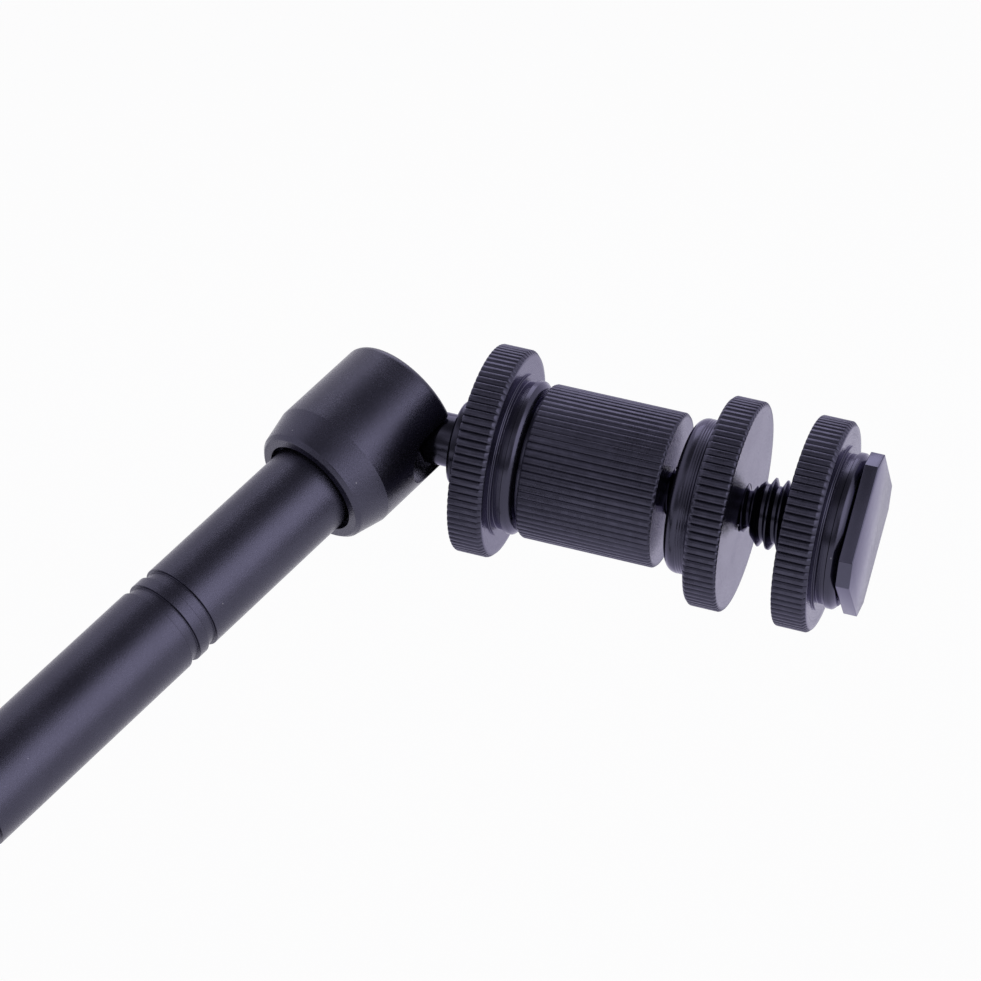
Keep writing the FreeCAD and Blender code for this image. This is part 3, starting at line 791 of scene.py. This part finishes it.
@dataclass
class BallStud:
    """Ball, neck, stem and flange, with a thread beyond the wheel."""

    ball: float = 6.1
    neck: float = 2.4
    neck_end: float = 6.5
    stem: float = 3.6
    stem_start: float = 7.4
    flange: float = 5.82
    flange_start: float = 11.35
    flange_end: float = 14.4
    flange_chamfer: float = 0.35
    wheel_front: float = 21.9
    free_thread: float = 8.0
    lead: tuple[float, float] = (0.05, 0.6)
    thread: Thread = SMALL_THREAD

    def build(self, name: str, home: Home) -> None:
        """Turns the stud, cuts its thread and puts it in its place."""
        neck_angle = degrees(acos(self.neck / self.ball))
        outline = arc((0, 0), self.ball, -90, neck_angle, 30)
        outline[0] = (0, -self.ball)
        core, core_end = self.thread.root - 0.1, self.wheel_front + 1.0  # the shank inside the thread
        start, end, chamfer = self.flange_start, self.flange_end, self.flange_chamfer
        outline += softened([
            outline[-1], (self.neck, self.neck_end), (self.stem, self.stem_start), (self.stem, start),
            (self.flange - chamfer, start), (self.flange, start + chamfer), (self.flange, end - chamfer),
            (self.flange - chamfer, end), (core, end), (core, core_end), (0, core_end)],
            0.08, closed=False)[1:]
        shank = lathe(name, outline, 96, closed=False)
        tip = self.wheel_front + self.free_thread
        threaded = self.thread.cut("thread", end, tip, self.lead)
        settle(join(name, [shank, threaded]), home, THREADED)


@dataclass
class SocketHead:
    """Ball socket with a U slot through its front and one side."""

    radius: float = 9.65
    front: float = 5.05
    back: float = 13.95
    cone_start: float = 9.15
    cone_drop: float = 1.0
    lip_chamfer: float = 0.5
    rounding: float = 1.1
    gap: float = 0.6
    gap_depth: float = 2.0
    bore: float = 6.3
    mouth: float = 7.7
    lip: float = 5.0
    seat: float = 6.15
    slot_half: float = 3.95

    def slot_cutter(self) -> Object:
        """The U-shaped slot's space, from the axis out through the wall."""
        outline = [(0.0, y, z) for y, z in arc((0, 0), self.slot_half, -180, 0, 24)]
        top = self.front + self.rounding
        outline += [(0.0, self.slot_half, top), (0.0, -self.slot_half, top)]
        cutter = trace("slot", outline)
        bpy.ops.mesh.edge_face_add()
        reach = self.radius + self.rounding
        bpy.ops.mesh.extrude_region_move(TRANSFORM_OT_translate={"value": (reach, 0, 0)})
        clean_up()
        close_edit()
        return cutter

    def build(self, name: str, home: Home) -> None:
        """Turns the head, mills its slot, breaks the edges and puts it in its place."""
        cone_foot = self.radius - self.cone_drop
        lip_height = sqrt(self.seat ** 2 - self.lip ** 2)
        lip_angle = degrees(asin(lip_height / self.seat))
        inner, low = self.bore + self.gap, -self.back
        outline = [(inner, low), (cone_foot - self.lip_chamfer, low), (cone_foot, low + self.lip_chamfer),
                   (self.radius, -self.cone_start)]
        outline += arc((self.radius - self.rounding, self.front - self.rounding), self.rounding, 0, 90, 12)
        outline += [(self.mouth, self.front)]
        outline += arc((0, 0), self.seat, lip_angle, 0, 10)
        outline += [(self.bore, 0), (self.bore, low + self.gap_depth), (inner, low + self.gap_depth)]
        piece = lathe(name, softened(outline, 0.06), 160)
        combine(piece, self.slot_cutter(), Cut.TAKE_AWAY)
        break_edges(piece, MILLED_EDGE, 42)
        settle(piece, home, BLASTED, 10)


@dataclass
class ArmTube:
    """Tube with two pairs of turned grooves."""

    radius: float = 6.3
    bore: float = 4.25
    front: float = 8.7
    end: float = 107.9
    pairs: tuple[float, float] = (38.9, 78.5)
    groove: float = 1.55
    land: float = 1.65
    depth: float = 0.4
    slope: float = 0.06

    def build(self, name: str, home: Home) -> None:
        """Turns the tube and puts it in its place."""
        outline = [(self.bore, -self.front), (self.bore, -self.end), (self.radius, -self.end)]
        floor = self.radius - self.depth
        for start in reversed(self.pairs):
            for step in (1, 0):
                near = -(start + step * (self.groove + self.land))
                far = near - self.groove
                outline += [
                    (self.radius, far - self.slope / 2), (floor, far + self.slope / 2),
                    (floor, near - self.slope / 2), (self.radius, near + self.slope / 2)]
        outline.append((self.radius, -self.front))
        piece = lathe(name, softened(outline, 0.04), 128)
        settle(piece, home, BLASTED)


@dataclass
class Elbow:
    """Two knuckle drums, one on the other, with the knob that locks the arm."""

    radius: float = 14.0
    half: float = 8.0
    chamfer: float = 1.2
    collar: float = 7.9
    collar_end: float = 19.5
    collar_chamfer: float = 0.8
    tube: float = 6.3
    tube_seat: float = 9.6
    rod_guide: float = 3.05
    cavity: float = 5.6
    front_wall: float = 3.0
    spigot: float = 8.5
    spigot_end: float = 10.8
    recess: float = 8.55
    recess_depth: float = 2.2
    plug: float = 7.2
    plug_depth: float = 2.0
    shaft_hole: float = 3.05

    def blank(self, name: str) -> Object:
        """A solid drum with its collar, edges rounded where they meet."""
        low, high = -self.half, self.half
        inner, chamfer = self.radius - self.chamfer, self.chamfer
        outline = [(0.0, low), (inner, low)]
        outline += arc((inner, low + chamfer), chamfer, -90, 0, 5)[1:]
        outline += arc((inner, high - chamfer), chamfer, 0, 90, 5)
        outline += [(0.0, high)]
        drum = lathe(name, outline, 128, closed=False)
        ring = self.collar - self.collar_chamfer
        collar = lathe("collar", softened([
            (0.0, 0.0), (self.collar, 0.0), (self.collar, self.collar_end - self.collar_chamfer),
            (ring, self.collar_end), (0.0, self.collar_end)], 0.1, False), 96, closed=False)
        collar.rotation_euler = (0, pi / 2, 0)
        make_active(collar)
        bpy.ops.object.transform_apply()
        combine(drum, collar, Cut.ADD)
        return drum

    def finish(self, piece: Object, bores: Iterable[Triple], home: Home) -> None:
        """Bores a drum with each (radius, start, end) and for its tube and rod, and settles it."""
        for radius, start, end in bores:
            combine(piece, rod(radius, start, end), Cut.TAKE_AWAY)
        for radius, start in ((self.tube, self.tube_seat), (self.rod_guide, 0)):
            combine(piece, rod(radius, start, 2 * REACH, Axis.X), Cut.TAKE_AWAY)
        break_edges(piece, MILLED_EDGE, 35)
        settle(piece, home, BLASTED)

    def build_lower(self, name: str, home: Home) -> None:
        """The lower arm's drum, with the spigot that the upper drum turns on."""
        piece = self.blank(name)
        combine(piece, rod(self.spigot, 0, self.spigot_end, steps=128), Cut.ADD)
        self.finish(piece, [
            (self.cavity, -REACH, REACH), (self.plug, -REACH, -self.half + self.plug_depth)], home)

    def build_upper(self, name: str, home: Home) -> None:
        """The upper arm's drum, recessed for the spigot and closed towards the knob."""
        self.finish(self.blank(name), [
            (self.cavity, -REACH, self.half - self.front_wall),
            (self.recess, -REACH, -self.half + self.recess_depth), (self.shaft_hole, 0, REACH)], home)


@dataclass
class LockingKnob:
    """Lobed knob with its insert's bore and a recess for its cap."""

    radius: float = 19.0
    foot: float = 9.0
    hub_radius: float = 9.5
    hub_height: float = 2.5
    height: float = 14.0
    edge: float = 2.2
    lobes: int = 7
    cut_radius: float = 7.0
    cut_place: float = 23.6
    insert: float = 5.0
    insert_height: float = 13.0
    bore: float = 3.05
    cap: float = 8.0
    cap_thickness: float = 1.6
    per_lobe: int = 28
    face: float = 12.6  # radius that the scallops leave flat
    dish: float = 11.0
    dish_depth: float = 0.15
    cap_rim: float = 0.45
    dome: float = 0.35

    def lobe_radius(self, angle: float) -> float:
        """Outer radius at an angle from the middle of a scallop."""
        inside = self.cut_radius ** 2 - (self.cut_place * sin(angle)) ** 2
        if inside <= 0:
            return self.radius
        return min(self.radius, self.cut_place * cos(angle) - sqrt(inside))

    def build(self, name: str, home: Home) -> None:
        """Turns the knob, scallops its grip and puts it in its place."""
        shelf = self.foot + self.hub_height
        top = shelf + self.height
        outline = [
            (self.insert, self.foot), (self.hub_radius, self.foot), (self.hub_radius, shelf),
            (self.dish, shelf), (self.face, shelf)]
        inner, edge = self.radius - self.edge, self.edge
        outline += arc((inner, shelf + edge), edge, -90, 0, 7)
        outline += arc((inner, top - edge), edge, 0, 90, 9)
        dished, recess = top - self.dish_depth, top - self.cap_thickness
        socket = self.foot + self.insert_height
        outline += [
            (self.face, top), (self.dish, dished), (self.cap + 2 * self.cap_rim, dished),
            (self.cap + self.cap_rim, top), (self.cap, top), (self.cap, recess), (self.bore, recess),
            (self.bore, socket), (self.insert, socket)]
        steps = self.lobes * self.per_lobe
        piece = lathe(name, softened(outline, 0.12), steps)
        open_edit(piece)
        for column in range(self.per_lobe // 2):
            wanted = self.lobe_radius(FULL_TURN * column / steps)
            if wanted < self.radius:
                draw_in(piece, steps, self.per_lobe, column, self.face + 0.2, wanted / self.radius)
        close_edit()
        settle(piece, home, KNOB_PLASTIC, 40)

    def build_cap(self, name: str, home: Home) -> None:
        """A slightly domed cap in the knob's recess."""
        top = self.foot + self.hub_height + self.height
        low, side = top - self.cap_thickness, self.cap - 0.08
        outline = [(0.0, low), (side, low), (side, top - 0.25), (self.cap - 0.4, top)]
        outline += [(self.cap * share, top + self.dome * (1 - share ** 2))
                    for share in (0.85, 0.65, 0.4, 0.2)]
        outline += [(0.0, top + self.dome)]
        piece = lathe(name, outline, 96, closed=False)
        settle(piece, home, KNOB_PLASTIC, 40)


@dataclass
class Coupling:
    """Knurled barrel, stepped stud and foot."""

    start: float = 21.9
    end: float = 41.0
    radius: float = 10.48
    chamfer: float = 0.3
    relief_radius: float = 8.6
    relief_width: float = 0.85
    jam_gap: float = 1.6
    inset: float = 9.3
    step: float = 52.6
    clamp_gap: float = 5.85
    small_lead: tuple[float, float] = (0.6, 0.02)
    large_lead: tuple[float, float] = (1.25, 0.02)
    foot_start: float = 66.2
    foot_side: float = 18.6
    foot_corner: float = 2.65
    foot_thickness: float = 1.9
    spigot: float = 3.0
    spigot_length: float = 1.2
    knurl: Knurl = Knurl(66, 0.2)

    def build_barrel(self, name: str, home: Home) -> None:
        """Turns and knurls the barrel."""
        shoulder = self.start + self.relief_width
        bore, low = SMALL_THREAD.bore, self.radius - 1.5 * self.knurl.depth
        radius, end, chamfer = self.radius, self.end, self.chamfer
        outline = [
            (bore, self.start), (self.relief_radius, self.start), (self.relief_radius, shoulder),
            (low, shoulder), (radius - chamfer / 2, shoulder), (radius, shoulder + chamfer),
            (radius, end - chamfer), (radius - chamfer, end), (low, end), (bore, end)]
        piece = lathe(name, softened(outline, 0.07), self.knurl.steps)
        self.knurl.press(piece, self.radius)
        finish = replace(TURNED, name="barrel_black", worn_radius=self.radius)
        settle(piece, home, finish, KNURL_ANGLE)

    def build_stud(self, name: str, home: Home) -> None:
        """Cuts both threads of the adapter's stud and its spigot."""
        small = SMALL_THREAD.cut(name, self.end - self.inset, self.step + 0.3, self.small_lead)
        large = LARGE_THREAD.cut("large", self.step, self.foot_start, self.large_lead)
        spigot = rod(self.spigot, self.foot_start - 0.2, self.foot_start + self.spigot_length)
        settle(join(name, [small, large, spigot]), home, THREADED)

    def build_foot(self, name: str, home: Home) -> None:
        """Square foot with cut corners and broken edges."""
        deselect()
        middle = self.foot_start + self.foot_thickness / 2
        bpy.ops.mesh.primitive_cube_add(size=1.0, location=(0, 0, middle))
        piece = bpy.context.object
        piece.name = piece.data.name = name
        piece.scale = (self.foot_side, self.foot_side, self.foot_thickness)
        bpy.ops.object.transform_apply()
        open_edit(piece)
        bpy.ops.mesh.select_mode(type="EDGE")
        bpy.ops.mesh.select_all(action="DESELECT")
        mesh = bmesh.from_edit_mesh(piece.data)
        for edge in mesh.edges:
            first, second = (vertex.co for vertex in edge.verts)
            edge.select = (first.xy - second.xy).length < SLACK
        mesh.select_flush_mode()
        bmesh.update_edit_mesh(piece.data)
        bpy.ops.mesh.bevel(offset=self.foot_corner, segments=1, affect="EDGES")
        close_edit()
        hole = rod(self.spigot, self.foot_start - 0.5, self.foot_start + self.spigot_length)
        combine(piece, hole, Cut.TAKE_AWAY)
        break_edges(piece, 0.13, 30, segments=3)
        settle(piece, home, MILLED)


# The room


@dataclass(frozen=True)
class TentArea:
    """Round patch of the tent that is brighter or darker than the rest."""

    direction: Triple
    core: float
    edge: float
    level: float


@dataclass
class Studio:
    """Light tent, floor and camera."""

    azimuth: float = -44.227
    elevation: float = 20.133
    roll: float = 0.05
    ball_in_view: Triple = (-14.95, -8.94, 537.0)
    focal_pixels: float = 4000.0
    picture_pixels: float = 981.0
    sensor: float = 36.0
    floor_drop: float = 0.07
    horizon_level: float = 0.98
    tent_level: float = 0.9
    glow_share: float = 0.9
    lamp_place: Triple = (0.7, 0.6, 1.0)
    lamp_side: float = 0.8
    lamp_power: float = 3.0
    areas: tuple[TentArea, ...] = (
        TentArea((-0.88, -0.45, -0.10), 28, 62, 0.25),
        TentArea((-0.15, -0.10, 0.98), 14, 40, 0.18),
        TentArea((-0.86, -0.32, 0.42), 6, 16, 0.8),
        TentArea((0.20, -0.90, 0.35), 18, 34, 2.1),
    )

    def build_camera(self) -> None:
        """Stands the camera where the photograph was taken from."""
        turn, rise = radians(self.azimuth), radians(self.elevation)
        back = Vector((sin(turn) * cos(rise), -cos(turn) * cos(rise), sin(rise)))
        right = Vector((cos(turn), sin(turn), 0))
        upward = back.cross(right)
        lens = bpy.data.cameras.new("camera")
        lens.sensor_fit = "HORIZONTAL"
        lens.sensor_width = self.sensor
        lens.lens = self.focal_pixels / self.picture_pixels * self.sensor
        lens.clip_start, lens.clip_end = 0.01, 20
        camera = bpy.data.objects.new("camera", lens)
        bpy.context.scene.collection.objects.link(camera)
        basis = Matrix((right, upward, back)).transposed() @ Matrix.Rotation(radians(self.roll), 3, "Z")
        across, down, away = (value * MM for value in self.ball_in_view)
        stand = UPPER_BALL - basis @ Vector((across, -down, -away))
        camera.matrix_world = Matrix.Translation(stand) @ basis.to_4x4()
        bpy.context.scene.camera = camera

    def build_floor(self) -> None:
        """A pale floor that keeps a soft shadow, below all that the held arm can reach."""
        deselect()
        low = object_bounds()[0].z - self.floor_drop
        bpy.ops.mesh.primitive_plane_add(size=8.0, location=(0, 0, low))
        floor = bpy.context.object
        floor.name = "floor"
        sheet = NodeSheet(bpy.data.materials.new("pale_floor"))
        ground = sheet.noise(sheet.add("TexCoord").outputs["Object"], 3.0, 3.0)
        pale = sheet.blend(ground, (0.86, 0.86, 0.87, 1), (0.89, 0.89, 0.9, 1))
        material = sheet.dress(Base_Color=pale, Roughness=0.8)
        rays = sheet.add("LightPath").outputs
        seen = sheet.math("MAXIMUM", rays["Is Camera Ray"],
                          sheet.math("MAXIMUM", rays["Is Glossy Ray"], rays["Is Transmission Ray"]))
        sheet.show(sheet.math("MULTIPLY", seen, self.glow_share), sheet.tree.nodes["Principled BSDF"],
                   sheet.add("Emission", WHITE, 1.0), "Material Output")
        floor.data.materials.append(material)
        floor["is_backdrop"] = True

    def build_world(self) -> None:
        """A tent with brighter and darker areas; plain white to the camera."""
        world = bpy.data.worlds.new("tent")
        bpy.context.scene.world = world
        sheet = NodeSheet(world)
        direction = sheet.add("TexCoord").outputs["Generated"]
        level: object = self.tent_level
        for area in self.areas:
            nearness = sheet.add("VectorMath", direction, Vector(area.direction).normalized(),
                                 operation="DOT_PRODUCT")
            edge, core = (cos(radians(angle)) for angle in (area.edge, area.core))
            share = sheet.add("MapRange", nearness.outputs["Value"], edge, core,
                              interpolation_type="SMOOTHSTEP")
            level = sheet.add("Mix", share.outputs[0], None, level, area.level).outputs[0]
        tent = sheet.tree.nodes["Background"]
        sheet.fill(tent, Color=(0.97, 0.96, 1.0, 1), Strength=level)
        sheet.show(sheet.add("LightPath").outputs["Is Camera Ray"], tent,
                   sheet.add("Background", WHITE, self.horizon_level), "World Output")

    def build_lamp(self) -> None:
        """Hangs a square soft box that faces the upper ball."""
        light = bpy.data.lights.new("back_box", "AREA")
        light.shape = "SQUARE"
        light.size = self.lamp_side
        light.energy = self.lamp_power
        lamp = bpy.data.objects.new("back_box", light)
        bpy.context.scene.collection.objects.link(lamp)
        lamp.location = UPPER_BALL + Vector(self.lamp_place)
        lamp.rotation_mode = "QUATERNION"
        lamp.rotation_quaternion = Vector(self.lamp_place).to_track_quat("Z", "Y")

    def build(self) -> None:
        """Builds the room round the finished arm."""
        self.build_camera()
        self.build_floor()
        self.build_world()
        self.build_lamp()
        bpy.context.scene.view_settings.view_transform = "Standard"


def dress_plain_nodes() -> None:
    """Gives the nodes that keep their solids a finish of their own."""
    plain = {
        "lower_push_rod": (SATIN_STEEL, LOWER_FRAME),
        "upper_push_rod": (SATIN_STEEL, UPPER_FRAME),
        "lower_brake_pad": (BRAKE_PLASTIC, LOWER_FRAME),
        "upper_brake_pad": (BRAKE_PLASTIC, UPPER_FRAME),
        "elbow_friction_washer": (BRAKE_PLASTIC, LOWER_ELBOW_FRAME),
        "elbow_end_plug": (BLASTED, LOWER_ELBOW_FRAME),
        "wedge_shaft": (SATIN_STEEL, UPPER_ELBOW_FRAME),
        "thrust_washer": (SATIN_STEEL, UPPER_ELBOW_FRAME),
        "knob_insert": (TURNED_BRASS, UPPER_ELBOW_FRAME),
    }
    for node, (finish, place) in plain.items():
        mesh = frame["nodes"][node].data
        mesh.materials.clear()
        mesh.materials.append(finish.material(place))
        LOG.info("%s keeps its solid", node)


def main() -> None:
    """Builds the arm from its base to its shoe, then the room."""
    logging.basicConfig(level=logging.INFO, format="%(message)s")
    wheel, stud, head, arm_tube = KnurledWheel(), BallStud(), SocketHead(), ArmTube()
    elbow, knob, coupling = Elbow(), LockingKnob(), Coupling()
    small, large = SMALL_THREAD.bore, LARGE_THREAD.bore
    jam_start = coupling.end + coupling.jam_gap
    clamp_back = coupling.step + coupling.clamp_gap
    ring_back = clamp_back + wheel.rim + wheel.boss_height - wheel.ring_width

    stud.build("base_stud_turned", Home(BASE_FRAME, "base_stud", "base_ball_stud", "black_thread"))
    wheel.build("base_wheel_knurled", stud.flange_end, small,
                Home(BASE_FRAME, "base_wheel", "base_lock_wheel"))
    head.build("lower_head_slotted", Home(LOWER_FRAME, "lower_arm", "lower_socket_head"))
    arm_tube.build("lower_tube_grooved", Home(LOWER_FRAME, "lower_arm", "lower_tube"))
    elbow.build_lower("lower_drum_bored", Home(LOWER_ELBOW_FRAME, "lower_arm", "lower_elbow_drum"))
    elbow.build_upper("upper_drum_bored", Home(UPPER_ELBOW_FRAME, "upper_arm", "upper_elbow_drum"))
    knob.build("knob_lobed", Home(UPPER_ELBOW_FRAME, "knob", "locking_knob", "knob_plastic"))
    knob.build_cap("knob_cap_domed", Home(UPPER_ELBOW_FRAME, "knob", "knob_cap", "knob_plastic"))
    arm_tube.build("upper_tube_grooved", Home(UPPER_FRAME, "upper_arm", "upper_tube"))
    head.build("upper_head_slotted", Home(UPPER_FRAME, "upper_arm", "upper_socket_head"))
    stud.build("upper_stud_turned", Home(STUD_FRAME, "upper_stud", "upper_ball_stud", "black_thread"))
    wheel.build("upper_wheel_knurled", stud.flange_end, small,
                Home(STUD_FRAME, "upper_wheel", "upper_lock_wheel"))
    coupling.build_barrel("barrel_knurled", Home(STUD_FRAME, "coupling", "coupling_barrel"))
    coupling.build_stud("adapter_stud_threaded", Home(STUD_FRAME, "coupling", "adapter_stud", "black_thread"))
    wheel.build_jam_wheel("jam_wheel_knurled", jam_start, small, Home(STUD_FRAME, "jam", "jam_wheel"))
    wheel.build("clamp_wheel_knurled", clamp_back, large,
                Home(STUD_FRAME, "clamp_wheel", "shoe_wheel"), ringed=False)
    wheel.build_clamp_ring("clamp_ring_smooth", ring_back, large,
                           Home(STUD_FRAME, "clamp_ring", "shoe_clamp_ring"))
    coupling.build_foot("foot_milled", Home(SHOE_FRAME, "coupling", "shoe_foot"))
    dress_plain_nodes()
    Studio().build()


if __name__ == "__main__":
    main()
